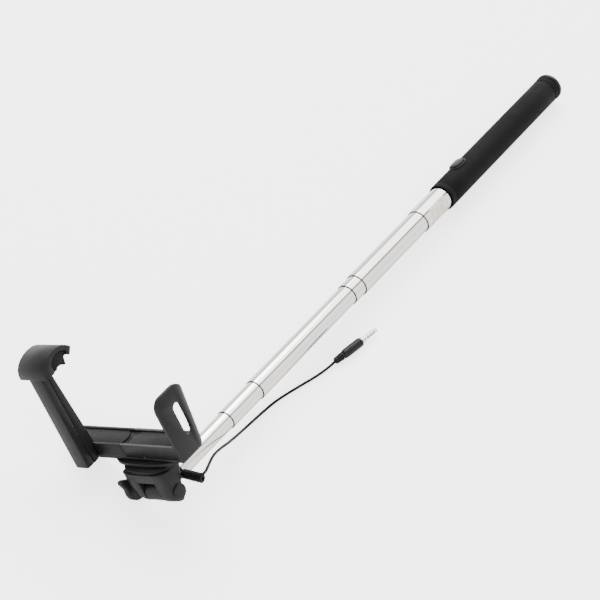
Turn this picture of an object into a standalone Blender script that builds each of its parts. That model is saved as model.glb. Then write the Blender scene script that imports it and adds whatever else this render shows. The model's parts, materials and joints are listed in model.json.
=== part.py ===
"""Wired selfie stick with a six-tube telescopic pole, a tilting head and a side-on phone holder.

Everything but the free cord is modelled in the stick's own frame and hangs from the empty
stick_pose, which lays the stick on a table.  In that frame the tilt hinge crosses the pole at
the origin, +Y runs along the pole to the handle, +X runs along the phone holder to its slotted
jaw, and +Z is the side of the pole that the holder and the shutter button are on.
"""
import math

import bmesh
import bpy
from mathutils import Matrix, Vector

MM = 0.001
GAP = 0.3                      # clearance between neighbouring pieces, mm

# How the stick lies on its table: on the end cap, the base's end corner and the hinge knob.
POSE_ROLL = 34.4               # degrees about the pole
POSE_PITCH = 1.12              # degrees, head end higher than the handle
POSE_PLACE = (45.77, -256.15, 21.49)  # mm, where the tilt hinge's centre sits

# Pole: tube 1 is fixed in the handle, tube 6 carries the head.
TUBE_COUNT = 6
TUBE_RADIUS = 9.5              # of tube 1, each next one is TUBE_STEP smaller
TUBE_STEP = 0.6
TUBE_WALL = 0.35
TUBE_LENGTH = 171.0            # of tube 1, each next one is TUBE_SHORTER shorter
TUBE_SHORTER = 11.0
TUBE_FRONT = (319.2, 234.8, 222.4, 107.7, 73.9, 19.0)
BUSH_FLANGE = 4.0
BUSH_SPIGOT = 7.0
BUSH_WALL = 0.9

# Handle
GRIP_FRONT = 352.9
GRIP_END = 519.2
GRIP_RADIUS = 10.9
GRIP_BORE = 9.85
CAP_END = 524.5
CAP_RADIUS = 11.3
BUTTON_Y = 384.5
BUTTON_LENGTH = 13.4
BUTTON_WIDTH = 7.8

# Hinge under the holder
HOUSING_HALF = 19.0            # along the hinge pin
BARREL_RADIUS = 7.2
HOUSING_TOP = 17.2
SLOT_LEFT = -6.8
SLOT_RIGHT = 8.8
SLOT_TOP = 10.6
EYE_RADIUS = 6.9
NECK_RADIUS = 5.7
GLAND_Y = 14.5
PIN_RADIUS = 2.1
SWIVEL_Y = 4.0
RIVET_SHANK = 1.6
RIVET_HEAD = 2.3

# Phone holder
BASE_LEFT = -70.5
BASE_RIGHT = 33.1
BASE_FRONT = 1.1
BASE_BACK = 19.7
BASE_BOTTOM = 22.7
BASE_TOP = 34.2
SEAM_X = -17.0                 # where the fixed half of the base meets the sliding jaw
STRIP_TOP = 24.7
RIM = 2.2
TRAY_DEPTH = 1.9
PAD_SINK = 0.7                 # the pads lie this far under the rims
JAW_FACE = 36.0
JAW_WALL = 2.6
JAW_TOP = 68.8
ARM_LEFT = -55.5
ARM_RIGHT = -43.6
ARM_FRONT = -11.3
ARM_SPLIT = -4.6
ARM_TOP = 94.9
HOOK_LEFT = -60.7
HOOK_RIGHT = -34.1
STEM_LEFT = -52.4
STEM_RIGHT = -46.8
STEM_BOTTOM = 52.0

# Cord: a curly length at the pole's tip, then a free run to a 3.5 mm plug
COIL_START = Vector((10.9, GLAND_Y, 2.6))
COIL_END = Vector((28.4, GLAND_Y, -0.4))
COIL_RADIUS = 3.4
CORD_DIAMETER = 2.0

# The free cord's route on the table, in world millimetres.
CORD_ROUTE = (
    (69.6, -241.3, 39.6), (68.8, -236.6, 39.8), (65.9, -229.5, 38.6), (62.9, -220.5, 35.0),
    (60.5, -209.5, 28.6), (58.4, -197.0, 20.6), (56.1, -186.0, 13.4), (54.3, -175.0, 7.6),
    (53.3, -162.5, 3.5), (53.4, -149.0, 1.5), (54.6, -136.0, 1.1), (57.0, -125.0, 1.1),
    (60.6, -111.6, 1.1), (63.8, -100.4, 1.1), (66.1, -91.0, 1.6), (67.4, -85.6, 2.6),
    (68.2, -80.6, 3.55))

BLACK = (0.022, 0.021, 0.023)
materials = {}


def material(name, colour, roughness, metallic=0.0):
    """Return the named Principled material, made once."""
    if name not in materials:
        made = bpy.data.materials.new(name)
        made.use_nodes = True
        shader = made.node_tree.nodes["Principled BSDF"]
        shader.inputs["Base Color"].default_value = (*colour, 1.0)
        shader.inputs["Roughness"].default_value = roughness
        shader.inputs["Metallic"].default_value = metallic
        made.diffuse_color = (*colour, 1.0)
        materials[name] = made
    return materials[name]


def plastic():
    return material("black_plastic", BLACK, 0.42)


def dark_plastic():
    return material("dark_plastic", (0.012, 0.012, 0.013), 0.5)


def grip_rubber():
    return material("grip_rubber", (0.010, 0.010, 0.011), 0.75)


def pad_rubber():
    return material("pad_rubber", (0.016, 0.015, 0.015), 0.7)


def stainless():
    return material("stainless", (0.76, 0.74, 0.72), 0.2, 1.0)


def steel():
    return material("screw_steel", (0.5, 0.5, 0.5), 0.35, 1.0)


def board_green():
    return material("board", (0.02, 0.16, 0.07), 0.5)


def cord_jacket():
    return material("cord_jacket", (0.012, 0.012, 0.012), 0.45)


def clear_scene():
    for old in list(bpy.data.objects):
        bpy.data.objects.remove(old, do_unlink=True)


def empty(name, place, parent=None):
    made = bpy.data.objects.new(name, None)
    bpy.context.collection.objects.link(made)
    made.parent = parent
    made.location = Vector(place) * MM
    return made


def finish(bm, name, look, parent, smooth=35.0):
    """Close a bmesh in millimetres into an object whose origin is its parent's."""
    bmesh.ops.remove_doubles(bm, verts=bm.verts, dist=0.001)
    bmesh.ops.recalc_face_normals(bm, faces=bm.faces)
    bmesh.ops.scale(bm, vec=(MM, MM, MM), verts=bm.verts)
    mesh = bpy.data.meshes.new(name)
    bm.to_mesh(mesh)
    bm.free()
    mesh.shade_smooth()
    mesh.set_sharp_from_angle(angle=math.radians(smooth))
    made = bpy.data.objects.new(name, mesh)
    bpy.context.collection.objects.link(made)
    if look:
        made.data.materials.append(look)
    made.parent = parent
    if parent and parent.name != "stick_pose":
        # Geometry is written in the stick's frame, so the pivot's own offset comes off again.
        made.data.transform(Matrix.Translation(-parent_offset(parent)))
    return made


def parent_offset(parent):
    """The parent empty's place in the stick's frame, in metres."""
    offset = Vector((0.0, 0.0, 0.0))
    while parent and parent.name != "stick_pose":
        offset += parent.location
        parent = parent.parent
    return offset


def turned(name, profile, look, parent, centre=(0.0, 0.0, 0.0), axis="Y", segments=40):
    """Turn a closed profile of (distance along the axis, radius) about an axis."""
    along, side, up = {"X": (0, 1, 2), "Y": (1, 2, 0), "Z": (2, 0, 1)}[axis]
    bm = bmesh.new()
    rings = []
    for distance, radius in profile:
        ring = []
        count = 1 if radius < 1e-6 else segments
        for step in range(count):
            angle = 2.0 * math.pi * step / segments
            point = [0.0, 0.0, 0.0]
            point[along] = distance
            point[side] = radius * math.cos(angle)
            point[up] = radius * math.sin(angle)
            ring.append(bm.verts.new(Vector(point) + Vector(centre)))
        rings.append(ring)
    for number, ring in enumerate(rings):
        following = rings[(number + 1) % len(rings)]
        if len(ring) == 1 and len(following) == 1:
            continue
        for step in range(segments):
            after = (step + 1) % segments
            corners = [ring[step % len(ring)], ring[after % len(ring)],
                       following[after % len(following)], following[step % len(following)]]
            bm.faces.new(list(dict.fromkeys(corners)))
    return finish(bm, name, look, parent)


def tube(name, start, end, outer, inner, look, parent, **place):
    profile = [(start, inner), (start, outer), (end, outer), (end, inner)]
    return turned(name, profile, look, parent, **place)


def rod(name, start, end, radius, look, parent, chamfer=0.3, **place):
    profile = [(start, 0.0), (start, radius - chamfer), (start + chamfer, radius),
               (end - chamfer, radius), (end, radius - chamfer), (end, 0.0)]
    return turned(name, profile, look, parent, **place)


def prism(name, outline, low, high, look, parent, plane="YZ"):
    """Extrude an outline, given in the named plane, between two values of the third axis."""
    axes = {"YZ": (1, 2, 0), "XZ": (0, 2, 1), "XY": (0, 1, 2)}[plane]
    bm = bmesh.new()
    ends = []
    for level in (low, high):
        ring = []
        for first, second in outline:
            point = [0.0, 0.0, 0.0]
            point[axes[0]] = first
            point[axes[1]] = second
            point[axes[2]] = level
            ring.append(bm.verts.new(point))
        ends.append(ring)
    count = len(outline)
    for step in range(count):
        after = (step + 1) % count
        bm.faces.new((ends[0][step], ends[0][after], ends[1][after], ends[1][step]))
    bm.faces.new(ends[0])
    bm.faces.new(ends[1])
    return finish(bm, name, look, parent)


def block(name, low, high, look, parent):
    outline = [(low[0], low[1]), (high[0], low[1]), (high[0], high[1]), (low[0], high[1])]
    return prism(name, outline, low[2], high[2], look, parent, plane="XY")


def arc(centre, radius, start, end, steps):
    """Points of an arc, angles in degrees."""
    points = []
    for step in range(steps + 1):
        angle = math.radians(start + (end - start) * step / steps)
        points.append((centre[0] + radius * math.cos(angle), centre[1] + radius * math.sin(angle)))
    return points


def stadium(centre, length, width, steps=10):
    """A slot outline with round ends, long in the first direction."""
    reach = (length - width) / 2.0
    right = arc((centre[0] + reach, centre[1]), width / 2.0, -90.0, 90.0, steps)
    left = arc((centre[0] - reach, centre[1]), width / 2.0, 90.0, 270.0, steps)
    return right + left


def superellipse(centre, half_x, half_y, power, steps=44):
    points = []
    for step in range(steps):
        angle = 2.0 * math.pi * step / steps
        cosine, sine = math.cos(angle), math.sin(angle)
        x = math.copysign(abs(cosine) ** (2.0 / power), cosine)
        y = math.copysign(abs(sine) ** (2.0 / power), sine)
        points.append((centre[0] + half_x * x, centre[1] + half_y * y))
    return points


def loft(name, rings, look, parent):
    """Join rings of equal count, listed from one end to the other, and cap both ends."""
    bm = bmesh.new()
    built = [[bm.verts.new(point) for point in ring] for ring in rings]
    for lower, upper in zip(built, built[1:]):
        count = len(lower)
        for step in range(count):
            after = (step + 1) % count
            bm.faces.new((lower[step], lower[after], upper[after], upper[step]))
    bm.faces.new(built[0])
    bm.faces.new(built[-1])
    return finish(bm, name, look, parent)


def change(made, cutter, operation="DIFFERENCE"):
    """Cut or join one object with another, which stays as a hidden helper."""
    modifier = made.modifiers.new(operation.title(), "BOOLEAN")
    modifier.operation = operation
    modifier.solver = "EXACT"
    modifier.object = cutter
    cutter.hide_render = True
    cutter.display_type = "WIRE"
    return made


def bevel(made, width, segments=2, angle=40.0):
    modifier = made.modifiers.new("Edges", "BEVEL")
    modifier.width = width * MM
    modifier.segments = segments
    modifier.limit_method = "ANGLE"
    modifier.angle_limit = math.radians(angle)
    return made


def tube_outer(number):
    return TUBE_RADIUS - TUBE_STEP * number


def tube_rear(number):
    return TUBE_FRONT[number] + TUBE_LENGTH - TUBE_SHORTER * number


def build_pole_tube(number, pivot):
    """One stainless tube, and behind each sliding one the bush that guides its rear end."""
    outer = tube_outer(number)
    inner = outer - TUBE_WALL
    front = TUBE_FRONT[number]
    rear = tube_rear(number)
    tube(f"pole_tube_{number + 1}", front, rear, outer, inner, stainless(), pivot, segments=40)
    if number == 0:
        return
    spigot = inner - GAP
    bore = spigot - BUSH_WALL
    profile = [(rear - BUSH_SPIGOT, bore), (rear - BUSH_SPIGOT, spigot), (rear + GAP, spigot),
               (rear + GAP, outer), (rear + GAP + BUSH_FLANGE, outer),
               (rear + GAP + BUSH_FLANGE, bore)]
    turned(f"guide_bush_{number + 1}", profile, dark_plastic(), pivot, segments=40)


def build_handle(pivot):
    """Grip, end cap, lead anchor and the shutter switch with its button."""
    grip_profile = [(GRIP_FRONT, GRIP_BORE), (GRIP_FRONT, GRIP_RADIUS - 0.4),
                    (GRIP_FRONT + 0.4, GRIP_RADIUS), (GRIP_END, GRIP_RADIUS),
                    (GRIP_END, GRIP_BORE)]
    grip = turned("grip_sleeve", grip_profile, grip_rubber(), pivot, segments=48)
    window = prism("grip_window", [(x, y) for y, x in stadium((BUTTON_Y, 0.0), 17.2, 11.0)],
                   5.0, 14.0, None, pivot, plane="XY")
    change(grip, window)

    spigot = GRIP_BORE - GAP
    cap_profile = [(GRIP_END - 18.0, spigot - 1.4), (GRIP_END - 18.0, spigot),
                   (GRIP_END + GAP, spigot), (GRIP_END + GAP, CAP_RADIUS - 0.4),
                   (GRIP_END + GAP + 0.4, CAP_RADIUS), (CAP_END - 2.4, CAP_RADIUS),
                   (CAP_END - 1.0, CAP_RADIUS - 0.7), (CAP_END - 0.3, CAP_RADIUS - 2.2),
                   (CAP_END, 0.0), (GRIP_END + 2.0, 0.0), (GRIP_END + 2.0, spigot - 1.4)]
    turned("end_cap", cap_profile, plastic(), pivot, segments=48)
    anchor_start = tube_rear(0) + GAP
    turned("lead_anchor", [(anchor_start, 1.6), (anchor_start, spigot),
                           (anchor_start + 5.0, spigot), (anchor_start + 5.0, 1.6)],
           dark_plastic(), pivot)

    bezel = prism("button_bezel", [(x, y) for y, x in stadium((BUTTON_Y, 0.0), 16.4, 10.2)],
                  9.85, 11.5, plastic(), pivot, plane="XY")
    hole = prism("bezel_hole", [(x, y) for y, x in stadium((BUTTON_Y, 0.0), 14.2, 8.6)],
                 5.0, 14.0, None, pivot, plane="XY")
    change(bezel, hole)
    block("switch_board", (-3.4, BUTTON_Y - 5.5, 9.8), (3.4, BUTTON_Y + 5.5, 10.1),
          board_green(), pivot)
    turned("dome_contact", [(10.15, 0.0), (10.15, 2.0), (10.3, 2.0), (10.5, 1.2), (10.55, 0.0)],
           steel(), pivot, centre=(0.0, BUTTON_Y, 0.0), axis="Z", segments=20)


def build_button(pivot):
    button = prism("shutter_button",
                   [(x, y) for y, x in stadium((BUTTON_Y, 0.0), BUTTON_LENGTH, BUTTON_WIDTH)],
                   11.25, 12.6, plastic(), pivot, plane="XY")
    bevel(button, 0.5)


def housing_section(level):
    """One level of the hinge housing: a round-cornered outline that ends in the barrel."""
    if level <= 3.0:
        reach = math.sqrt(max(BARREL_RADIUS ** 2 - min(level, 0.0) ** 2, 0.6))
        front, back = -reach, reach
    else:
        share = (level - 3.0) / (HOUSING_TOP - 3.0)
        front = -BARREL_RADIUS - 0.5 * share
        back = BARREL_RADIUS + 6.4 * share
    right = HOUSING_HALF + max(level, 0.0) / HOUSING_TOP * 1.6
    left = right - 5.5 * min(1.0, max(0.0, (8.0 - level) / 15.0)) ** 1.3
    ring = superellipse(((right - left) / 2.0, (front + back) / 2.0), (left + right) / 2.0,
                        (back - front) / 2.0, 5.0)
    return [(x, y, level) for x, y in ring]


def build_eye(pivot):
    """The plug in the pole's tip: the hinge eye, its neck and the cord's gland."""
    eye = rod("pole_eye", SLOT_LEFT + 0.4, SLOT_RIGHT - 0.4, EYE_RADIUS, plastic(), pivot,
              chamfer=0.5, axis="X")
    spigot = tube_outer(5) - TUBE_WALL - GAP
    front = TUBE_FRONT[5]
    neck = turned("eye_neck", [(3.0, 0.0), (3.0, NECK_RADIUS), (front - GAP, NECK_RADIUS),
                               (front - GAP, spigot), (front + 12.0, spigot), (front + 12.0, 0.0)],
                  None, pivot)
    change(eye, neck, "UNION")
    pin_hole = rod("eye_pin_hole", -12.0, 12.0, PIN_RADIUS + GAP, None, pivot, axis="X")
    change(eye, pin_hole)
    gland_profile = [(NECK_RADIUS + 0.4, 0.0), (NECK_RADIUS + 0.4, 2.1), (8.6, 2.1),
                     (COIL_START.x - GAP - 0.2, 1.5), (COIL_START.x - GAP - 0.2, 0.0)]
    turned("cord_gland", gland_profile, plastic(), pivot, centre=(0.0, GLAND_Y, 1.0), axis="X",
           segments=24)


def build_housing(pivot):
    """Fork over the eye, its pin, cap and the collar that the holder turns on."""
    levels = (-7.1, -6.5, -5.0, -2.6, 0.0, 3.0, 8.0, 12.0, HOUSING_TOP)
    housing = loft("hinge_housing", [housing_section(level) for level in levels], plastic(), pivot)
    slot = block("housing_slot", (SLOT_LEFT, -24.0, -20.0), (SLOT_RIGHT, 24.0, SLOT_TOP), None,
                 pivot)
    change(housing, slot)
    bore = rod("housing_bore", -30.0, 30.0, PIN_RADIUS + GAP, None, pivot, axis="X")
    change(housing, bore)
    rivet_hole = rod("rivet_hole", 12.2, 25.0, RIVET_SHANK + GAP, None, pivot,
                     centre=(0.0, SWIVEL_Y, 0.0), axis="Z")
    change(housing, rivet_hole)

    rod("hinge_pin", -23.6, HOUSING_HALF + 0.2, PIN_RADIUS, steel(), pivot, axis="X", segments=24)
    turned("hinge_cap", [(HOUSING_HALF + 0.5, 0.0), (HOUSING_HALF + 0.5, 5.3),
                         (HOUSING_HALF + 1.2, 5.3), (HOUSING_HALF + 1.7, 4.6),
                         (HOUSING_HALF + 1.7, 0.0)], plastic(), pivot, axis="X", segments=32)
    collar = prism("swivel_collar", superellipse((0.0, SWIVEL_Y), 20.8, 11.2, 2.6),
                   HOUSING_TOP + GAP, 19.6, plastic(), pivot, plane="XY")
    change(collar, rivet_hole)
    turned("swivel_rivet", [(12.5, 0.0), (12.5, RIVET_SHANK), (22.8, RIVET_SHANK),
                            (22.8, RIVET_HEAD), (24.2, RIVET_HEAD), (24.6, RIVET_HEAD - 0.4),
                            (24.6, 0.0)],
           steel(), pivot, centre=(0.0, SWIVEL_Y, 0.0), axis="Z", segments=28)


def build_knob(pivot):
    """Wing knob: a round hub with one long and one short wing."""
    outline = []
    steps = 48
    for step in range(steps):
        angle = 360.0 * step / steps
        radius = 8.4
        for heading, height, spread in ((129.0, 6.4, 15.0), (-42.0, 2.6, 24.0)):
            away = (angle - heading + 180.0) % 360.0 - 180.0
            radius += height * math.exp(-(away / spread) ** 2)
        outline.append((radius * math.cos(math.radians(angle)),
                        radius * math.sin(math.radians(angle))))
    knob = prism("tilt_knob", outline, -24.9, -20.9, plastic(), pivot, plane="YZ")
    bore = rod("knob_bore", -23.9, -10.0, PIN_RADIUS + GAP, None, pivot, axis="X", segments=24)
    change(knob, bore)
    bevel(knob, 0.6)


def build_base(pivot):
    """Fixed half of the base with its rubber pad and the oval plate it turns on."""
    outline = [(BASE_LEFT, BASE_BOTTOM), (BASE_RIGHT, BASE_BOTTOM), (BASE_RIGHT, STRIP_TOP),
               (SEAM_X + 0.4, STRIP_TOP), (SEAM_X - 0.9, BASE_TOP), (BASE_LEFT, BASE_TOP)]
    base = prism("base_shell", outline, BASE_FRONT, BASE_BACK, plastic(), pivot, plane="XZ")
    floor = BASE_TOP - TRAY_DEPTH
    tray = block("base_tray", (BASE_LEFT + RIM, BASE_FRONT + RIM, floor),
                 (SEAM_X + 5.0, BASE_BACK - RIM, BASE_TOP + 5.0), None, pivot)
    change(base, tray)
    rivet_room = rod("rivet_room", 15.0, 40.0, RIVET_HEAD + GAP, None, pivot,
                     centre=(0.0, SWIVEL_Y, 0.0), axis="Z", segments=28)
    plate = prism("swivel_plate", superellipse((-1.5, 9.2), 31.0, 12.2, 2.5), 19.9,
                  BASE_BOTTOM - GAP, plastic(), pivot, plane="XY")
    rivet_bore = rod("plate_rivet_bore", 15.0, 40.0, RIVET_SHANK + GAP, None, pivot,
                     centre=(0.0, SWIVEL_Y, 0.0), axis="Z", segments=28)
    change(plate, rivet_bore)
    for side, x in (("left", -25.0), ("right", 25.0)):
        centre = (x, 9.4, 0.0)
        hole = rod(f"screw_hole_{side}", 15.0, 24.5, 1.5, None, pivot, centre=centre, axis="Z",
                   segments=20)
        change(plate, hole)
        change(base, hole)
        turned(f"base_screw_{side}", [(18.4, 0.0), (18.4, 1.9), (18.8, 2.3), (19.6, 2.3),
                                      (19.6, 1.2), (24.1, 1.2), (24.1, 0.0)],
               steel(), pivot, centre=centre, axis="Z", segments=20)
    change(base, rivet_room)
    bevel(base, 0.5, angle=60.0)

    low, high = BASE_FRONT + RIM + GAP, BASE_BACK - RIM - GAP
    edge = []
    for step in range(11):
        y = low + (high - low) * step / 10.0
        pull = 4.6 * max(0.0, (y - 11.0) / 6.2) ** 2 + 1.2 * max(0.0, (11.0 - y) / 7.4) ** 2
        edge.append((SEAM_X - 1.3 - pull, y))
    outline = [(BASE_LEFT + RIM + GAP, high), (BASE_LEFT + RIM + GAP, low)] + edge
    prism("base_pad", outline, floor + GAP, BASE_TOP - PAD_SINK, pad_rubber(), pivot, plane="XY")


def lean(made_outline, base_level, slope):
    """Widen the jaw's far edge with height: returns rings of (x, y, z) for two levels."""
    rings = []
    for level in (BASE_BOTTOM, JAW_TOP):
        rings.append([(x, y + slope * (level - base_level) * (y - BASE_FRONT) / 25.0, level)
                      for x, y in made_outline])
    return rings


def build_side_jaw(pivot):
    """Sliding half of the base with the slotted jaw that holds the phone's end."""
    corner = 7.4
    centre = (JAW_FACE - corner, 18.6)
    outer = arc(centre, corner, 0.0, 90.0, 9)
    inner = arc(centre, corner - JAW_WALL, 90.0, 0.0, 9)
    outline = ([(JAW_FACE, BASE_FRONT)] + outer + [(centre[0] - 1.6, centre[1] + corner),
               (centre[0] - 1.6, centre[1] + corner - JAW_WALL)] + inner
               + [(JAW_FACE - JAW_WALL, BASE_FRONT)])
    jaw = loft("side_jaw", lean(outline, BASE_BOTTOM, 0.13), plastic(), pivot)

    bottom = STRIP_TOP + GAP
    slide = prism("jaw_slide", [(SEAM_X + 0.7, bottom), (JAW_FACE - 1.0, bottom),
                                (JAW_FACE - 1.0, BASE_TOP), (SEAM_X - 0.6, BASE_TOP)],
                  BASE_FRONT + 0.25, BASE_BACK, None, pivot, plane="XZ")
    change(jaw, slide, "UNION")
    floor = BASE_TOP - TRAY_DEPTH
    tray = block("jaw_tray", (SEAM_X - 8.0, BASE_FRONT + RIM, floor),
                 (JAW_FACE - JAW_WALL - 1.0, BASE_BACK - RIM, BASE_TOP + 5.0), None, pivot)
    change(jaw, tray)
    # Corner rounding of the upright, seen along the hinge axis.
    round_low, round_high = 6.0, 10.0
    big = 60.0
    for name, centre_point, radius, start, far in (
            ("jaw_round_top_far", (19.7, JAW_TOP + 0.1 - round_high), round_high, 0.0, (1, 1)),
            ("jaw_round_top_near", (BASE_FRONT + 8.4, JAW_TOP - 8.4), 8.5, 90.0, (-1, 1)),
            ("jaw_round_bottom_far", (19.3, BASE_BOTTOM + round_low - 0.15), round_low, 270.0,
             (1, -1))):
        sweep = arc(centre_point, radius, start, start + 90.0, 8)
        edge_end, edge_start = sweep[-1], sweep[0]
        outside = (centre_point[0] + far[0] * big, centre_point[1] + far[1] * big)
        if start == 90.0:
            ring = sweep + [(outside[0], edge_end[1]), outside, (edge_start[0], outside[1])]
        elif start == 0.0:
            ring = sweep + [(edge_end[0], outside[1]), outside, (outside[0], edge_start[1])]
        else:
            ring = sweep + [(outside[0], edge_end[1]), outside, (edge_start[0], outside[1])]
        corner_cutter = prism(name, ring, 20.0, 50.0, None, pivot, plane="YZ")
        change(jaw, corner_cutter)
    slot = prism("jaw_slot", [(y, z) for z, y in stadium((46.4, 17.0), 23.8, 7.2)],
                 31.5, 50.0, None, pivot, plane="YZ")
    change(jaw, slot)

    low, high = BASE_FRONT + RIM + GAP, BASE_BACK - RIM - GAP
    outline = [(-13.6, low), (31.6, low), (31.6, high), (-11.0, high)]
    prism("jaw_pad", outline, floor + GAP, BASE_TOP - PAD_SINK, pad_rubber(), pivot, plane="XY")


def build_arm(pivot):
    """Back and front halves of the upright arm, with the channel the hook's stem slides in."""
    front_outline = [(ARM_FRONT, BASE_BOTTOM), (ARM_SPLIT - GAP, BASE_BOTTOM),
                     (ARM_SPLIT - GAP, ARM_TOP), (ARM_FRONT + 0.7, ARM_TOP)]
    cover = prism("arm_front_cover", front_outline, ARM_LEFT, ARM_RIGHT, plastic(), pivot)
    channel = block("arm_channel", (STEM_LEFT - GAP, -9.4, 30.0),
                    (STEM_RIGHT + GAP, 0.0, ARM_TOP + 5.0), None, pivot)
    change(cover, channel)
    bevel(cover, 0.6, angle=60.0)
    back = BASE_FRONT - GAP
    foot = [(ARM_SPLIT, BASE_BOTTOM)] + arc((back - 2.6, BASE_BOTTOM + 2.6), 2.6, -90.0, 0.0, 4)
    back_outline = foot + [(back, BASE_TOP + 0.4), (2.7, BASE_TOP + 0.4), (-1.0, ARM_TOP),
                           (ARM_SPLIT, ARM_TOP)]
    rear = prism("arm_back_cover", back_outline, ARM_LEFT, ARM_RIGHT, plastic(), pivot)
    bevel(rear, 0.5, angle=60.0)

    wire, turns, steps = 0.5, 8, 8
    curve = bpy.data.curves.new("hook_spring", "CURVE")
    curve.dimensions = "3D"
    curve.bevel_depth = wire * MM
    curve.bevel_resolution = 1
    curve.use_fill_caps = True
    spline = curve.splines.new("POLY")
    count = turns * steps + 1
    spline.points.add(count - 1)
    middle = ((STEM_LEFT + STEM_RIGHT) / 2.0, -7.1)
    for step in range(count):
        angle = 2.0 * math.pi * step / steps
        point = (middle[0] + 1.5 * math.cos(angle), middle[1] + 1.5 * math.sin(angle),
                 31.2 + 19.6 * step / (count - 1))
        spline.points[step].co = (*(Vector(point) * MM - parent_offset(pivot)), 1.0)
    spring = bpy.data.objects.new("hook_spring", curve)
    bpy.context.collection.objects.link(spring)
    curve.materials.append(steel())
    spring.parent = pivot


def build_hook(pivot):
    """Arched upper jaw with its stem, and the toothed rubber liner under the arch."""
    arch = [(-13.0, 95.3), (-12.8, 98.6), (-11.6, 101.8), (-9.3, 104.4), (-6.0, 106.5),
            (-2.0, 107.9), (2.5, 108.5), (7.0, 108.2), (10.5, 107.0), (13.4, 105.0),
            (15.9, 102.3)]
    inside = [(12.3, 98.0), (10.3, 99.6), (10.9, 102.0), (9.2, 103.8), (6.8, 104.8),
              (3.0, 105.2), (-1.0, 104.4), (-3.4, 102.6), (ARM_SPLIT + 0.2, 101.0),
              (ARM_SPLIT + 0.2, 95.3)]
    hook = prism("hook_shell", arch + inside, HOOK_LEFT, HOOK_RIGHT, plastic(), pivot)
    stem = block("hook_stem", (STEM_LEFT, -8.9, STEM_BOTTOM), (STEM_RIGHT, -5.2, 100.0), None,
                 pivot)
    change(hook, stem, "UNION")
    bevel(hook, 0.5, angle=60.0)
    liner = [(-4.1, 95.6), (-4.1, 100.9), (-3.1, 102.3), (-0.8, 104.0), (3.0, 104.8),
             (6.6, 104.4), (8.8, 103.5), (10.4, 101.9), (9.7, 99.9), (7.9, 99.7), (6.7, 94.6),
             (5.1, 95.1), (3.6, 96.2), (1.8, 96.8), (-0.4, 96.8), (-1.2, 95.6)]
    prism("hook_liner", liner, HOOK_LEFT + 0.9, HOOK_RIGHT - 0.9, pad_rubber(), pivot)


def smooth_route(points, spacing):
    """Read evenly spaced points from a Catmull-Rom curve through the route's points."""
    dense = []
    for number in range(len(points) - 1):
        before = points[max(number - 1, 0)]
        start, end = points[number], points[number + 1]
        after = points[min(number + 2, len(points) - 1)]
        for step in range(20):
            t = step / 20.0
            dense.append(0.5 * ((2.0 * start) + (end - before) * t
                                + (2.0 * before - 5.0 * start + 4.0 * end - after) * t ** 2
                                + (3.0 * start - before - 3.0 * end + after) * t ** 3))
    dense.append(points[-1])
    length = sum((b - a).length for a, b in zip(dense, dense[1:]))
    count = max(2, round(length / spacing))
    even, walked, target = [dense[0]], 0.0, length / count
    for a, b in zip(dense, dense[1:]):
        step = (b - a).length
        while walked + step >= target - 1e-9 and len(even) < count:
            even.append(a.lerp(b, (target - walked) / step))
            target += length / count
        walked += step
    even.append(dense[-1])
    return even


def rod_between(name, profile, start, direction, look, parent, segments=24):
    """Turn a profile about a slanted axis that starts at a point."""
    made = turned(name, profile, look, None, axis="Z", segments=segments)
    turn = Vector((0.0, 0.0, 1.0)).rotation_difference(direction.normalized())
    made.data.transform(Matrix.Translation(start * MM) @ turn.to_matrix().to_4x4())
    if parent:
        made.parent = parent
        made.data.transform(Matrix.Translation(-parent_offset(parent)))
    return made


def build_cord(pivot):
    """The curly length's outer shape, the free run of cord, and the plug it ends in."""
    run = COIL_END - COIL_START
    length = run.length
    rod_between("cord_coil", [(0.0, 0.0), (0.0, COIL_RADIUS - 0.6), (0.6, COIL_RADIUS),
                              (length - 0.6, COIL_RADIUS), (length, COIL_RADIUS - 0.6),
                              (length, 0.0)], COIL_START, run, cord_jacket(), pivot)
    route = [Vector(point) for point in CORD_ROUTE]
    if not route:
        return
    curve = bpy.data.curves.new("free_cord", "CURVE")
    curve.dimensions = "3D"
    curve.bevel_depth = CORD_DIAMETER / 2.0 * MM
    curve.bevel_resolution = 2
    curve.use_fill_caps = True
    points = smooth_route(route, 2.4 * CORD_DIAMETER)
    spline = curve.splines.new("POLY")
    spline.points.add(len(points) - 1)
    for number, point in enumerate(points):
        spline.points[number].co = (*(point * MM), 1.0)
    cord = bpy.data.objects.new("free_cord", curve)
    bpy.context.collection.objects.link(cord)
    curve.materials.append(cord_jacket())
    build_plug(points[-1], points[-1] - points[-2])


def build_plug(tip, heading):
    """3.5 mm plug in three pieces, in line with the cord's end."""
    heading = Vector((heading.x, heading.y, 0.0)).normalized()
    relief = [(0.0, 0.0), (0.0, 1.6), (8.0, 2.3), (8.0, 0.0)]
    body = [(8.3, 0.0), (8.3, 2.6), (10.0, 3.3), (25.6, 3.5), (27.0, 3.2), (27.0, 0.0)]
    pin = [(27.3, 0.0), (27.3, 2.3), (29.3, 2.3), (29.3, 1.75), (40.6, 1.75), (41.6, 1.1),
           (42.7, 1.6), (44.2, 0.4), (44.2, 0.0)]
    start = tip + heading * GAP
    rod_between("plug_relief", relief, start, heading, cord_jacket(), None)
    rod_between("plug_body", body, start, heading, plastic(), None)
    rod_between("plug_pin", pin, start, heading, stainless(), None)


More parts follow.
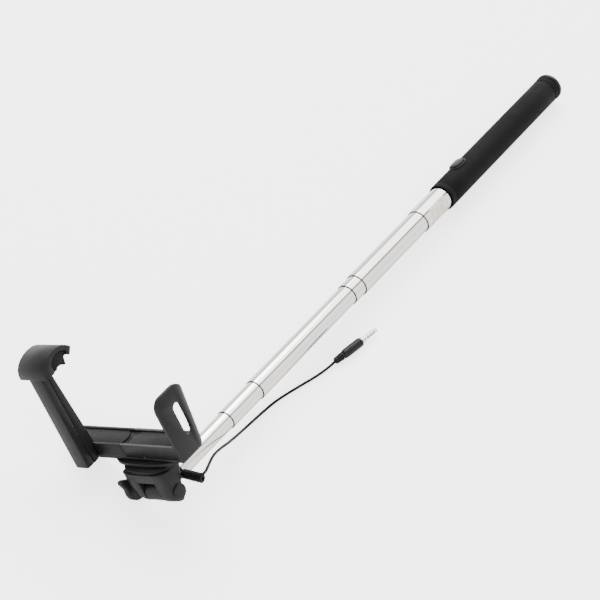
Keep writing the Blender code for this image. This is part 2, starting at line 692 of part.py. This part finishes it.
def build():
    clear_scene()
    roll, pitch = math.radians(-POSE_ROLL), math.radians(-POSE_PITCH)
    pose = empty("stick_pose", POSE_PLACE)
    pose.rotation_mode = "XYZ"
    turn = Matrix.Rotation(pitch, 3, "X") @ Matrix.Rotation(roll, 3, "Y")
    pose.rotation_euler = turn.to_euler("XYZ")

    build_handle(pose)
    build_button(empty("button_pivot", (0.0, BUTTON_Y, 11.25), pose))
    pivot = pose
    build_pole_tube(0, pose)
    for number in range(1, TUBE_COUNT):
        start = Vector((0.0, TUBE_FRONT[number], 0.0)) - parent_offset(pivot) / MM
        pivot = empty(f"tube_{number + 1}_pivot", start, pivot)
        build_pole_tube(number, pivot)
    build_eye(pivot)
    build_cord(pivot)
    hinge = empty("tilt_pivot", -parent_offset(pivot) / MM, pivot)
    build_housing(hinge)
    build_knob(empty("knob_pivot", (0.0, 0.0, 0.0), hinge))
    holder = empty("swivel_pivot", (0.0, SWIVEL_Y, HOUSING_TOP), hinge)
    build_base(holder)
    build_arm(holder)
    build_side_jaw(empty("jaw_pivot", (0.0, 0.0, 0.0), holder))
    build_hook(empty("hook_pivot", (0.0, 0.0, 0.0), holder))


build()
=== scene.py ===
"""Looks of the wired selfie stick: detailed pieces and materials on the built frame."""
import json
import math

import bmesh
import bpy
from mathutils import Matrix, Vector

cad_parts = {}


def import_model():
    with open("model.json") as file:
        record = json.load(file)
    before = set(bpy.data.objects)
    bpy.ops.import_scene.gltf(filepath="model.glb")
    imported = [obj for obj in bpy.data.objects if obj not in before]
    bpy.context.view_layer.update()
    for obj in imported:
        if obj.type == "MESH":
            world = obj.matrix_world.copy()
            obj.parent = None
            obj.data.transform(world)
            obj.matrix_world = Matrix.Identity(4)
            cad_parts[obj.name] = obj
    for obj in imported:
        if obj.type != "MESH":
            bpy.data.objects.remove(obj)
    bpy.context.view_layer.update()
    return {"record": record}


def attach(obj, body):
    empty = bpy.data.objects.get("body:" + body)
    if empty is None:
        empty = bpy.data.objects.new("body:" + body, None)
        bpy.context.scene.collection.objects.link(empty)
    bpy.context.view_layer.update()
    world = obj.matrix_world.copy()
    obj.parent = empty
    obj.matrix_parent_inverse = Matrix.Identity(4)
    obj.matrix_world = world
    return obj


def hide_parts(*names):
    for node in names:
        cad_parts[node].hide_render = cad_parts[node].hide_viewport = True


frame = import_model()

MM = 0.001

# The stick's own frame: the origin is the tilt hinge, +Y runs along the pole to the handle,
# +X along the holder to its jaw, and +Z is the side of the holder and the button.
ROLL = math.radians(34.4)
PITCH = math.radians(1.12)
PLACE = Vector((45.77, -256.15, 21.49))
TURN = Matrix.Rotation(-PITCH, 3, "X") @ Matrix.Rotation(-ROLL, 3, "Y")

TUBE_RIMS = (319.2, 234.8, 222.4, 107.7, 73.9, 19.0)
TUBE_LENGTH = 171.0
TUBE_SHORTER = 11.0
TUBE_RADIUS = 9.5
TUBE_STEP = 0.6


def world(point):
    """A point of the stick's frame in millimetres, in the row's frame in metres."""
    return (TURN @ Vector(point) + PLACE) * MM


def add_object(name, data):
    """Put new data into the scene as an object."""
    made = bpy.data.objects.new(name, data)
    bpy.context.collection.objects.link(made)
    return made


def angle_from(angle, centre):
    """The signed angle from centre to angle, in radians."""
    return (angle - centre + math.pi) % (2.0 * math.pi) - math.pi


# ---------------------------------------------------------------- materials

NOISE_ROUGHNESS = 0.55
NOISE_LOW, NOISE_HIGH = 0.3, 0.7     # the middle range that noise values fill
SOFT_EDGE = 0.0003                   # metres, rounding of edges in the shading only
EVEN = (1.0, 1.0, 1.0)


def node(tree, kind, **values):
    """Add a shader node and set its attributes."""
    made = tree.nodes.new(kind)
    for key, value in values.items():
        setattr(made, key, value)
    return made


def stick_coordinates(tree, stretch):
    """Texture coordinates in the stick's frame, in metres, scaled on each axis."""
    coordinates = node(tree, "ShaderNodeTexCoord")
    turn = node(tree, "ShaderNodeMapping")
    turn.inputs["Rotation"].default_value = (PITCH, ROLL, 0.0)
    turn.inputs["Location"].default_value = -(TURN.transposed() @ (PLACE * MM))
    scale = node(tree, "ShaderNodeMapping")
    scale.inputs["Scale"].default_value = stretch
    tree.links.new(coordinates.outputs["Object"], turn.inputs["Vector"])
    tree.links.new(turn.outputs["Vector"], scale.inputs["Vector"])
    return scale.outputs["Vector"]


def noise(tree, vector, scale, detail=3.0):
    """Fractal noise at a scale in cycles per metre."""
    made = node(tree, "ShaderNodeTexNoise")
    made.inputs["Scale"].default_value = scale
    made.inputs["Detail"].default_value = detail
    made.inputs["Roughness"].default_value = NOISE_ROUGHNESS
    tree.links.new(vector, made.inputs["Vector"])
    return made.outputs["Fac"]


def remap(tree, value, low, high, start=NOISE_LOW, end=NOISE_HIGH):
    """Map a value's range, from start to end, to low to high."""
    made = node(tree, "ShaderNodeMapRange")
    made.inputs["From Min"].default_value = start
    made.inputs["From Max"].default_value = end
    made.inputs["To Min"].default_value = low
    made.inputs["To Max"].default_value = high
    tree.links.new(value, made.inputs["Value"])
    return made.outputs["Result"]


def blend_colour(tree, value, first, second):
    """Blend two colours across the middle of a noise value's range."""
    made = node(tree, "ShaderNodeValToRGB")
    made.color_ramp.elements[0].position = NOISE_LOW
    made.color_ramp.elements[0].color = (*first, 1.0)
    made.color_ramp.elements[1].position = NOISE_HIGH
    made.color_ramp.elements[1].color = (*second, 1.0)
    tree.links.new(value, made.inputs["Fac"])
    return made.outputs["Color"]


def bump(tree, height, strength, distance, normal=None):
    """A normal raised by height, distance in metres."""
    made = node(tree, "ShaderNodeBump")
    made.inputs["Strength"].default_value = strength
    made.inputs["Distance"].default_value = distance
    tree.links.new(height, made.inputs["Height"])
    if normal is not None:
        tree.links.new(normal, made.inputs["Normal"])
    return made.outputs["Normal"]


def new_material(name, colour, metallic=0.0, specular=0.5):
    """A Principled material with its name, tree and shader."""
    made = bpy.data.materials.new(name)
    made.use_nodes = True
    shader = made.node_tree.nodes["Principled BSDF"]
    shader.inputs["Base Color"].default_value = (*colour, 1.0)
    shader.inputs["Metallic"].default_value = metallic
    shader.inputs["Specular IOR Level"].default_value = specular
    made.diffuse_color = (*colour, 1.0)
    return made, made.node_tree, shader


def moulded(name, colour, roughness, grain, depth, specular=0.5, variation=0.18):
    """Moulded plastic or rubber: fine grain, cloudy sheen and softened edges."""
    made, tree, shader = new_material(name, colour, specular=specular)
    place = stick_coordinates(tree, EVEN)
    cloud = noise(tree, place, 90.0)
    lighter = tuple(channel * (1.0 + variation) for channel in colour)
    darker = tuple(channel * (1.0 - variation) for channel in colour)
    tree.links.new(blend_colour(tree, cloud, darker, lighter), shader.inputs["Base Color"])
    tree.links.new(remap(tree, cloud, roughness - 0.05, roughness + 0.06),
                   shader.inputs["Roughness"])
    soft = node(tree, "ShaderNodeBevel", samples=4)
    soft.inputs["Radius"].default_value = SOFT_EDGE
    fine = noise(tree, place, 1.0 / grain, detail=2.0)
    tree.links.new(bump(tree, fine, 0.5, depth, soft.outputs["Normal"]),
                   shader.inputs["Normal"])
    return made


def polished(name, colour, low, high, streak=0.015):
    """Polished steel with faint drawing lines along the pole."""
    made, tree, shader = new_material(name, colour, metallic=1.0)
    place = stick_coordinates(tree, (1.0, streak, 1.0))
    lines = noise(tree, place, 2600.0, detail=2.0)
    wide = noise(tree, stick_coordinates(tree, (1.0, 0.25, 1.0)), 60.0)
    tree.links.new(remap(tree, lines, low, high), shader.inputs["Roughness"])
    tint = tuple(channel * 0.94 for channel in colour)
    tree.links.new(blend_colour(tree, wide, tint, colour), shader.inputs["Base Color"])
    tree.links.new(bump(tree, lines, 0.06, 0.00002), shader.inputs["Normal"])
    return made


def cord_material():
    """Dark, slightly glossy vinyl with a fine grain."""
    made, tree, shader = new_material("cord_vinyl", (0.014, 0.014, 0.015), specular=0.12)
    place = stick_coordinates(tree, EVEN)
    cloud = noise(tree, place, 220.0)
    tree.links.new(remap(tree, cloud, 0.34, 0.5), shader.inputs["Roughness"])
    tree.links.new(blend_colour(tree, cloud, (0.004, 0.004, 0.0045), (0.008, 0.008, 0.009)),
                   shader.inputs["Base Color"])
    tree.links.new(bump(tree, noise(tree, place, 3000.0, 2.0), 0.4, 0.00004),
                   shader.inputs["Normal"])
    return made


def label_material():
    """Plain foil label: pale silver with a soft mottled print, no words."""
    made, tree, shader = new_material("label_foil", (0.84, 0.82, 0.76), metallic=0.1)
    place = stick_coordinates(tree, EVEN)
    cloud = noise(tree, place, 260.0, 2.0)
    tree.links.new(blend_colour(tree, cloud, (0.62, 0.55, 0.40), (0.88, 0.87, 0.85)),
                   shader.inputs["Base Color"])
    tree.links.new(remap(tree, cloud, 0.22, 0.34), shader.inputs["Roughness"])
    tree.links.new(bump(tree, noise(tree, place, 2400.0, 2.0), 0.15, 0.00002),
                   shader.inputs["Normal"])
    return made


PLASTIC = moulded("satin_plastic", (0.0085, 0.0080, 0.0085), 0.42, 0.00035, 0.00004, 0.22)
PLASTIC_DARK = moulded("matt_plastic", (0.005, 0.005, 0.005), 0.52, 0.00035, 0.00005, 0.16)
CAP_PLASTIC = moulded("cap_plastic", (0.006, 0.006, 0.0065), 0.30, 0.0003, 0.00003, 0.2)
GRIP = moulded("grip_foam", (0.0040, 0.0037, 0.0038), 0.68, 0.0006, 0.00012, 0.09)
PAD = moulded("pad_rubber_skin", (0.0055, 0.0050, 0.0050), 0.55, 0.0004, 0.00008, 0.15)
BUTTON = moulded("button_plastic", (0.008, 0.008, 0.0085), 0.32, 0.0004, 0.00003, 0.22)
STEEL = polished("polished_steel", (0.82, 0.805, 0.785), 0.05, 0.12)
STEEL_DARK = polished("plain_steel", (0.52, 0.51, 0.50), 0.25, 0.38, 0.4)
PIN_METAL = polished("plug_metal", (0.84, 0.84, 0.85), 0.12, 0.2)
BOARD = moulded("board_lacquer", (0.02, 0.15, 0.06), 0.4, 0.0006, 0.00003)
CORD = cord_material()
LABEL = label_material()
SHADOW_LINE = moulded("rim_shadow", (0.006, 0.006, 0.006), 0.6, 0.0004, 0.00002, 0.2)
# Dark steel for the tubes' rolled front rims: painted shade that darkens the lip, so it reads as
# a shadowed line round each rim.
RIM_STEEL_PAINTED_SHADE = polished("rim_steel_painted_shade", (0.07, 0.068, 0.065), 0.22, 0.34)


# ---------------------------------------------------------------- helpers

ROUNDED_ABOVE, SHARP_ABOVE = 28.0, 50.0  # degrees between faces, on a refined piece


def add_mesh(name, bm, body, looks, replaced=(), smooth=35.0):
    """Turn a bmesh in stick millimetres into a piece that rides on a body."""
    for vertex in bm.verts:
        vertex.co = world(vertex.co)
    bmesh.ops.recalc_face_normals(bm, faces=bm.faces)
    mesh = bpy.data.meshes.new(name)
    bm.to_mesh(mesh)
    bm.free()
    mesh.shade_smooth()
    mesh.set_sharp_from_angle(angle=math.radians(smooth))
    for look in looks:
        mesh.materials.append(look)
    made = add_object(name, mesh)
    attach(made, body)
    if replaced:
        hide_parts(*replaced)
    return made


def lathe(bm, profile, origin=(0.0, 0.0, 0.0), along=(0.0, 1.0, 0.0), segments=72, shape=None):
    """Turn a closed profile of (distance, radius, look) about an axis, into bm."""
    along = Vector(along).normalized()
    side = along.cross(Vector((0.0, 0.0, 1.0)))
    if side.length < 0.1:
        side = along.cross(Vector((1.0, 0.0, 0.0)))
    side.normalize()
    up = side.cross(along)
    rings = []
    for distance, radius, _ in profile:
        count = 1 if radius < 1e-6 else segments
        ring = []
        for step in range(count):
            angle = 2.0 * math.pi * step / segments
            reach = radius if shape is None else radius + shape(distance, angle)
            ring.append(bm.verts.new(Vector(origin) + along * distance
                                     + (side * math.cos(angle) + up * math.sin(angle)) * reach))
        rings.append(ring)
    for number, ring in enumerate(rings):
        following = rings[(number + 1) % len(rings)]
        if len(ring) == 1 and len(following) == 1:
            continue
        for step in range(segments):
            after = (step + 1) % segments
            corners = [ring[step % len(ring)], ring[after % len(ring)],
                       following[after % len(following)], following[step % len(following)]]
            face = bm.faces.new(list(dict.fromkeys(corners)))
            face.material_index = profile[number][2]


def body_name(source):
    """The body that a CAD node belongs to."""
    groups = frame["record"]["behaviour"]["bodies"]
    return next(body for body, nodes in groups.items() if source in nodes)


def refined(name, source, look, width):
    """A copy of a CAD node with its edges rounded, in place of the node."""
    original = bpy.data.objects[source]
    bm = bmesh.new()
    bm.from_mesh(original.data)
    bmesh.ops.remove_doubles(bm, verts=bm.verts, dist=0.00002)
    bmesh.ops.dissolve_limit(bm, angle_limit=math.radians(1.0), verts=bm.verts, edges=bm.edges)
    mesh = bpy.data.meshes.new(name)
    bm.to_mesh(mesh)
    bm.free()
    mesh.materials.clear()
    mesh.materials.append(look)
    made = add_object(name, mesh)
    made.matrix_world = original.matrix_world.copy()
    edges = made.modifiers.new("edges", "BEVEL")
    edges.width = width * MM
    edges.segments = 2
    edges.limit_method = "ANGLE"
    edges.angle_limit = math.radians(ROUNDED_ABOVE)
    edges.miter_outer = "MITER_ARC"
    depsgraph = bpy.context.evaluated_depsgraph_get()
    finished = bpy.data.meshes.new_from_object(made.evaluated_get(depsgraph))
    made.modifiers.clear()
    made.data = finished
    finished.shade_smooth()
    finished.set_sharp_from_angle(angle=math.radians(SHARP_ABOVE))
    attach(made, body_name(source))
    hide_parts(source)
    return made


def look_on(source, look):
    """Give a CAD node its detailed material."""
    mesh = bpy.data.objects[source].data
    mesh.materials.clear()
    mesh.materials.append(look)


# ---------------------------------------------------------------- cord and plug

COIL_START = Vector((11.6, 14.5, 2.5))
COIL_END = Vector((28.4, 14.5, -0.4))
COIL_TURNS = 7.5
COIL_WIRE_RADIUS = 2.4
STEPS_PER_TURN = 16
CORD_DIAMETER = 0.002
CORD_EXIT = (10.7, 14.5, 1.0)
FREE_ROUTE = (
    (68.7, -238.6, 39.5), (67.9, -235.0, 39.5), (65.9, -229.5, 38.4), (62.9, -220.5, 35.0),
    (60.5, -209.5, 28.6), (58.4, -197.0, 20.6), (56.1, -186.0, 13.4), (54.3, -175.0, 7.6),
    (53.3, -162.5, 3.5), (53.4, -149.0, 1.5), (54.6, -136.0, 1.1), (57.0, -125.0, 1.1),
    (60.6, -111.6, 1.1), (63.8, -100.4, 1.1), (66.1, -91.0, 1.6), (67.4, -85.6, 2.6),
    (68.2, -80.6, 3.55))
PLUG_REAR = Vector((68.2, -80.6, 3.55))
PLUG_HEADING = Vector((0.15, 0.988, 0.0)).normalized()


def catmull(points, spacing):
    """Points at about even spacing on a smooth curve through the given ones."""
    padded = [points[0] * 2 - points[1]] + list(points) + [points[-1] * 2 - points[-2]]
    fine = []
    for a, b, c, d in zip(padded, padded[1:], padded[2:], padded[3:]):
        for step in range(12):
            t = step / 12.0
            fine.append(0.5 * ((2 * b) + (c - a) * t + (2 * a - 5 * b + 4 * c - d) * t * t
                               + (3 * b - a - 3 * c + d) * t ** 3))
    fine.append(points[-1])
    kept = [fine[0]]
    for point in fine[1:-1]:
        if (point - kept[-1]).length >= spacing:
            kept.append(point)
    if (fine[-1] - kept[-1]).length < 0.5 * spacing:
        kept.pop()
    kept.append(fine[-1])
    return kept


def make_cord():
    """Curly length at the pole's tip, then the free run to the plug, as one curve."""
    axis = (COIL_END - COIL_START).normalized()
    upper = (Vector((0.0, 0.0, 1.0)) - axis * axis.z).normalized()
    across = Vector((0.0, 1.0, 0.0))
    points = [world(CORD_EXIT)]
    count = int(COIL_TURNS * STEPS_PER_TURN)
    for step in range(count + 1):
        share = step / count
        angle = 2.0 * math.pi * COIL_TURNS * (share - 1.0)
        reach = COIL_WIRE_RADIUS * min(1.0, 0.62 + 6.0 * share)
        if step in (1, 2):
            continue
        centre = COIL_START.lerp(COIL_END, share)
        points.append(world(centre + upper * (reach * math.cos(angle))
                            + across * (reach * math.sin(angle))))
    for _ in range(3):
        points[1:5] = [(before + here * 2.0 + after) / 4.0 for before, here, after
                       in zip(points[0:4], points[1:5], points[2:6])]
    route = [points[-1] / MM] + [Vector(point) for point in FREE_ROUTE]
    points += [point * MM for point in catmull(route, 4.3)[1:]]
    curve = bpy.data.curves.new("cord", "CURVE")
    curve.dimensions = "3D"
    curve.bevel_depth = CORD_DIAMETER / 2.0
    curve.bevel_resolution = 4
    curve.use_fill_caps = True
    spline = curve.splines.new("POLY")
    spline.points.add(len(points) - 1)
    for slot, point in zip(spline.points, points):
        slot.co = (*point, 1.0)
    curve.materials.append(CORD)
    made = add_object("cord", curve)
    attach(made, "tube_6")
    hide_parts("cord_coil", "free_cord")
    return made


def make_plug():
    """Ribbed relief, moulded body and banded pin of the headphone plug."""
    rear = TURN.transposed() @ (PLUG_REAR - PLACE)
    heading = TURN.transposed() @ PLUG_HEADING
    relief = [(0.0, 0.0, 0), (0.0, 1.45, 0), (0.3, 1.7, 0)]
    for rib in range(4):
        start = 0.5 + rib * 1.85
        bottom, top = 1.65 + 0.12 * rib, 2.55 + 0.14 * rib
        relief += [(start, bottom, 0), (start + 0.15, top - 0.15, 0), (start + 0.35, top, 0),
                   (start + 0.95, top, 0), (start + 1.15, top - 0.15, 0),
                   (start + 1.3, bottom, 0)]
    relief += [(7.9, 2.2, 0), (8.2, 2.2, 0), (8.2, 0.0, 0)]
    bm = bmesh.new()
    lathe(bm, relief, rear, heading, 40)
    first = add_mesh("plug_ribs", bm, "tube_6", [CAP_PLASTIC], ["plug_relief"])

    body = [(8.2, 0.0, 0), (8.2, 2.3, 0), (8.35, 2.7, 0), (8.8, 2.95, 0), (10.2, 3.35, 0),
            (10.8, 3.45, 0), (12.6, 3.5, 0), (12.75, 3.32, 0), (13.1, 3.32, 0),
            (13.25, 3.5, 0), (14.6, 3.5, 0), (14.75, 3.32, 0), (15.1, 3.32, 0),
            (15.25, 3.5, 0), (25.9, 3.5, 0), (26.5, 3.42, 0), (26.9, 3.15, 0),
            (27.05, 2.9, 0), (27.05, 0.0, 0)]
    bm = bmesh.new()
    lathe(bm, body, rear, heading, 48)
    second = add_mesh("plug_grip", bm, "tube_6", [CAP_PLASTIC], ["plug_body"])

    pin = [(27.1, 0.0, 0), (27.1, 2.3, 0), (27.3, 2.45, 0), (29.1, 2.45, 0), (29.3, 2.3, 0),
           (29.35, 1.75, 0), (33.6, 1.75, 1), (34.1, 1.75, 0), (36.6, 1.75, 1),
           (37.1, 1.75, 0), (39.4, 1.75, 1), (39.9, 1.75, 0), (40.7, 1.72, 0),
           (41.5, 1.2, 0), (41.8, 1.15, 0), (42.5, 1.55, 0), (42.9, 1.6, 0), (43.5, 1.25, 0),
           (44.0, 0.65, 0), (44.2, 0.0, 0)]
    bm = bmesh.new()
    lathe(bm, pin, rear, heading, 40)
    third = add_mesh("plug_contacts", bm, "tube_6", [PIN_METAL, PLASTIC_DARK],
                     ["plug_pin"])
    return [first, second, third]


cord = make_cord()
plug = make_plug()


# ---------------------------------------------------------------- pole

GROOVE_ANGLE = math.radians(58.0)
TUBE_WALL = 0.35
SHADOW_START, SHADOW_END = 1.5, 2.5  # behind the rim


def tube_body(number):
    """The body of a tube, counted from 0 at the handle."""
    return "handle" if number == 0 else f"tube_{number + 1}"


def make_tube(number):
    """One polished tube, open at its rolled front rim."""
    front = TUBE_RIMS[number]
    radius = TUBE_RADIUS - TUBE_STEP * number
    length = TUBE_LENGTH - TUBE_SHORTER * number
    rear = front + length
    inside = radius - TUBE_WALL
    lip = radius - 0.52

    def groove(distance, angle):
        """A faint rolled guide line along the upper side of the tube."""
        if distance < front + 6.0:
            return 0.0
        off = angle_from(angle, GROOVE_ANGLE)
        return -0.10 * math.exp(-(off * radius / 0.45) ** 2)

    # Look 1, the dark rim steel on the lip and the front face, is painted shade along the rim.
    profile = [(front + 1.6, inside, 1), (front + 0.7, lip, 1), (front + 0.18, lip, 1),
               (front, lip + 0.14, 1), (front, radius - 0.16, 1), (front + 0.1, radius - 0.05, 1),
               (front + 0.25, radius, 1), (front + 0.55, radius, 0),
               (front + 5.4, radius, 0), (front + 6.2, radius, 0), (front + 7.0, radius, 0),
               (front + 0.5 * length, radius, 0),
               (rear - 1.0, radius, 0), (rear - 0.2, radius - 0.05, 0), (rear, radius - 0.12, 0),
               (rear, inside, 0)]
    bm = bmesh.new()
    lathe(bm, profile, segments=144, shape=None if number == 0 else groove)
    return add_mesh(f"tube_{number + 1}_steel", bm, tube_body(number),
                    [STEEL, RIM_STEEL_PAINTED_SHADE], [f"pole_tube_{number + 1}"], smooth=30.0)


def make_rim_shadow(number):
    """Painted shade: a dark ring set in the slit between a tube's rim and the tube that slides in
    it.
    """
    front = TUBE_RIMS[number]
    outer = TUBE_RADIUS - TUBE_STEP * number - 0.36
    inner = TUBE_RADIUS - TUBE_STEP * (number + 1) + 0.05
    profile = [(front + SHADOW_START, inner, 0), (front + SHADOW_START, outer, 0),
               (front + SHADOW_END, outer, 0), (front + SHADOW_END, inner, 0)]
    bm = bmesh.new()
    lathe(bm, profile, segments=72)
    return add_mesh(f"rim_seal_{number + 1}", bm, tube_body(number),
                    [SHADOW_LINE])


def make_label():
    """Plain foil label wrapped round the lower side of the first tube."""
    start, end = 326.5, 347.5
    low, high = math.radians(-78.0), math.radians(38.0)
    radius = TUBE_RADIUS + 0.06
    bm = bmesh.new()
    grid = []
    for row in range(9):
        along = start + (end - start) * row / 8.0
        grid.append([bm.verts.new((radius * math.cos(low + (high - low) * step / 32.0), along,
                                   radius * math.sin(low + (high - low) * step / 32.0)))
                     for step in range(33)])
    for row in range(8):
        for step in range(32):
            bm.faces.new((grid[row][step], grid[row][step + 1], grid[row + 1][step + 1],
                          grid[row + 1][step]))
    return add_mesh("label_band", bm, "handle", [LABEL])


for tube in range(len(TUBE_RIMS)):
    make_tube(tube)
for tube in range(len(TUBE_RIMS) - 1):
    make_rim_shadow(tube)
make_label()


# ---------------------------------------------------------------- handle

BUTTON_Y = 384.5
BUTTON_ANGLE = math.radians(90.0)


def make_grip():
    """Rubber sleeve with a rolled front edge and shallow ring lines."""
    profile = [(353.6, 9.85, 0), (353.0, 10.0, 0), (352.9, 10.3, 0), (353.0, 10.65, 0),
               (353.5, 10.85, 0), (354.3, 10.9, 0), (357.6, 10.9, 0), (357.8, 10.78, 0),
               (358.2, 10.78, 0), (358.4, 10.9, 0)]
    profile += [(BUTTON_Y + step, 10.9, 0) for step in range(-9, 10)]
    profile += [(440.0, 10.9, 0), (480.0, 10.9, 0), (512.0, 10.9, 0), (512.2, 10.78, 0),
               (512.6, 10.78, 0), (512.8, 10.9, 0), (518.2, 10.9, 0), (519.0, 10.75, 0),
               (519.2, 10.5, 0), (519.2, 9.85, 0)]

    def pocket(distance, angle):
        """The hole under the button, inside its bezel."""
        off = angle_from(angle, BUTTON_ANGLE)
        inside = ((distance - BUTTON_Y) / 7.4) ** 2 + (off * 10.9 / 4.6) ** 2 < 1.0
        return -0.95 if inside else 0.0

    bm = bmesh.new()
    lathe(bm, profile, segments=120, shape=pocket)
    return add_mesh("grip_skin", bm, "handle", [GRIP], ["grip_sleeve"])


make_grip()
refined("cap_skin", "end_cap", CAP_PLASTIC, 0.35)
refined("bezel_skin", "button_bezel", PLASTIC, 0.3)
refined("button_skin", "shutter_button", BUTTON, 0.25)

# ---------------------------------------------------------------- head and holder

# Name of the skin, its CAD node, look and edge rounding in millimetres.
PLASTIC_SKINS = (
    ("base_skin", "base_shell", PLASTIC, 0.45), ("jaw_skin", "side_jaw", PLASTIC, 0.4),
    ("arm_front_skin", "arm_front_cover", PLASTIC, 0.4),
    ("arm_back_skin", "arm_back_cover", PLASTIC, 0.5),
    ("hook_skin", "hook_shell", PLASTIC, 0.6), ("housing_skin", "hinge_housing", PLASTIC, 0.4),
    ("collar_skin", "swivel_collar", PLASTIC_DARK, 0.4),
    ("plate_skin", "swivel_plate", PLASTIC, 0.3), ("knob_skin", "tilt_knob", PLASTIC, 0.3),
    ("hinge_cap_skin", "hinge_cap", PLASTIC, 0.3))
for skin, source, look, width in PLASTIC_SKINS:
    refined(skin, source, look, width)
for source in ("base_pad", "jaw_pad", "hook_liner"):
    refined(f"{source}_skin", source, PAD, 0.3)

LOOKS = {
    "black_plastic": PLASTIC, "dark_plastic": PLASTIC_DARK, "grip_rubber": GRIP,
    "pad_rubber": PAD, "stainless": STEEL, "screw_steel": STEEL_DARK, "board": BOARD,
    "cord_jacket": CORD,
}
for part in frame["record"]["subparts"]:
    look_on(part["node"], LOOKS[part["material_slot"]])


# ---------------------------------------------------------------- stage, light and camera

TABLE_GLOW = 2.4


def make_stage():
    """Pale table, lit a little more for the camera than for the object's reflections."""
    made, tree, shader = new_material("table", (0.93, 0.93, 0.93))
    shader.inputs["Roughness"].default_value = 0.85
    shader.inputs["Emission Color"].default_value = (1.0, 1.0, 1.0, 1.0)
    seen = node(tree, "ShaderNodeLightPath")
    glow = node(tree, "ShaderNodeMath", operation="MULTIPLY")
    glow.inputs[1].default_value = TABLE_GLOW
    tree.links.new(seen.outputs["Is Camera Ray"], glow.inputs[0])
    tree.links.new(glow.outputs["Value"], shader.inputs["Emission Strength"])
    mesh = bpy.data.meshes.new("floor")
    half, level = 6.0, -0.0002           # metres; just under the lowest point
    corners = [(-half, -half, level), (half, -half, level), (half, half, level),
               (-half, half, level)]
    mesh.from_pydata(corners, [], [(0, 1, 2, 3)])
    mesh.materials.append(made)
    add_object("floor", mesh)


def make_light(name, place, aim, size, power):
    """Area light at place, turned to aim, in metres and watts."""
    data = bpy.data.lights.new(name, "AREA")
    data.shape = "RECTANGLE"
    data.size, data.size_y = size
    data.energy = power
    made = add_object(name, data)
    made.location = place
    direction = Vector(aim) - Vector(place)
    made.rotation_euler = direction.to_track_quat("-Z", "Y").to_euler()


def make_world():
    """Pale studio surround with one dark slot overhead, which polished tubes pick up."""
    surround = bpy.data.worlds.new("studio")
    surround.use_nodes = True
    tree = surround.node_tree
    background = tree.nodes["Background"]
    coordinates = node(tree, "ShaderNodeTexCoord")
    split = node(tree, "ShaderNodeSeparateXYZ")
    angle = node(tree, "ShaderNodeMath", operation="ARCTAN2")
    ramp = node(tree, "ShaderNodeValToRGB")
    scaled = remap(tree, angle.outputs["Value"], 0.0, 1.0, -math.pi, math.pi)
    tree.links.new(coordinates.outputs["Generated"], split.inputs["Vector"])
    tree.links.new(split.outputs["Z"], angle.inputs[0])
    tree.links.new(split.outputs["X"], angle.inputs[1])
    tree.links.new(scaled, ramp.inputs["Fac"])
    stops = ((0.0, 0.5), (0.50, 0.40), (0.60, 0.50), (0.668, 0.44), (0.680, 0.008),
             (0.694, 0.008), (0.706, 0.40), (0.73, 1.0), (0.90, 1.0), (0.925, 0.30),
             (0.96, 0.30), (1.0, 0.30))
    elements = ramp.color_ramp.elements
    elements[0].position, elements[1].position = 0.0, 1.0
    while len(elements) < len(stops):
        elements.new(0.5)
    for element, (position, level) in zip(elements, stops):
        element.position = position
        warm = 0.91 if level < 1.0 else 1.0
        element.color = (level, level * (0.5 + 0.5 * warm), level * warm, 1.0)
    band = node(tree, "ShaderNodeMapRange", interpolation_type="SMOOTHSTEP")
    band.inputs["From Min"].default_value = 0.40
    band.inputs["From Max"].default_value = 0.52
    tree.links.new(split.outputs["Y"], band.inputs["Value"])
    mix = node(tree, "ShaderNodeMix", data_type="RGBA")
    mix.inputs[6].default_value = (0.20, 0.197, 0.197, 1.0)
    tree.links.new(band.outputs["Result"], mix.inputs[0])
    tree.links.new(ramp.outputs["Color"], mix.inputs[7])
    tree.links.new(mix.outputs[2], background.inputs["Color"])
    background.inputs["Strength"].default_value = 5.0
    bpy.context.scene.world = surround


def make_camera():
    """Camera above and to the left of the head end, rolled as the object is seen."""
    data = bpy.data.cameras.new("camera")
    data.lens = 115.15
    data.sensor_width = 36.0
    data.clip_start = 0.05
    data.clip_end = 30.0
    made = add_object("camera", data)
    right = Vector((0.8229, 0.5631, 0.0759))
    up = Vector((-0.4585, 0.5791, 0.6741))
    back = right.cross(up).normalized()
    up = back.cross(right).normalized()
    matrix = Matrix((right.normalized(), up, back)).transposed().to_4x4()
    matrix.translation = Vector((0.4813, -0.8657, 1.0231))
    made.matrix_world = matrix
    bpy.context.scene.camera = made


make_stage()
make_world()
make_light("key", (-0.9, 0.5, 1.4), (0.0, 0.0, 0.0), (1.2, 1.2), 34.0)
make_light("fill", (1.1, -0.6, 0.9), (0.0, -0.1, 0.0), (1.0, 1.0), 10.0)
make_camera()
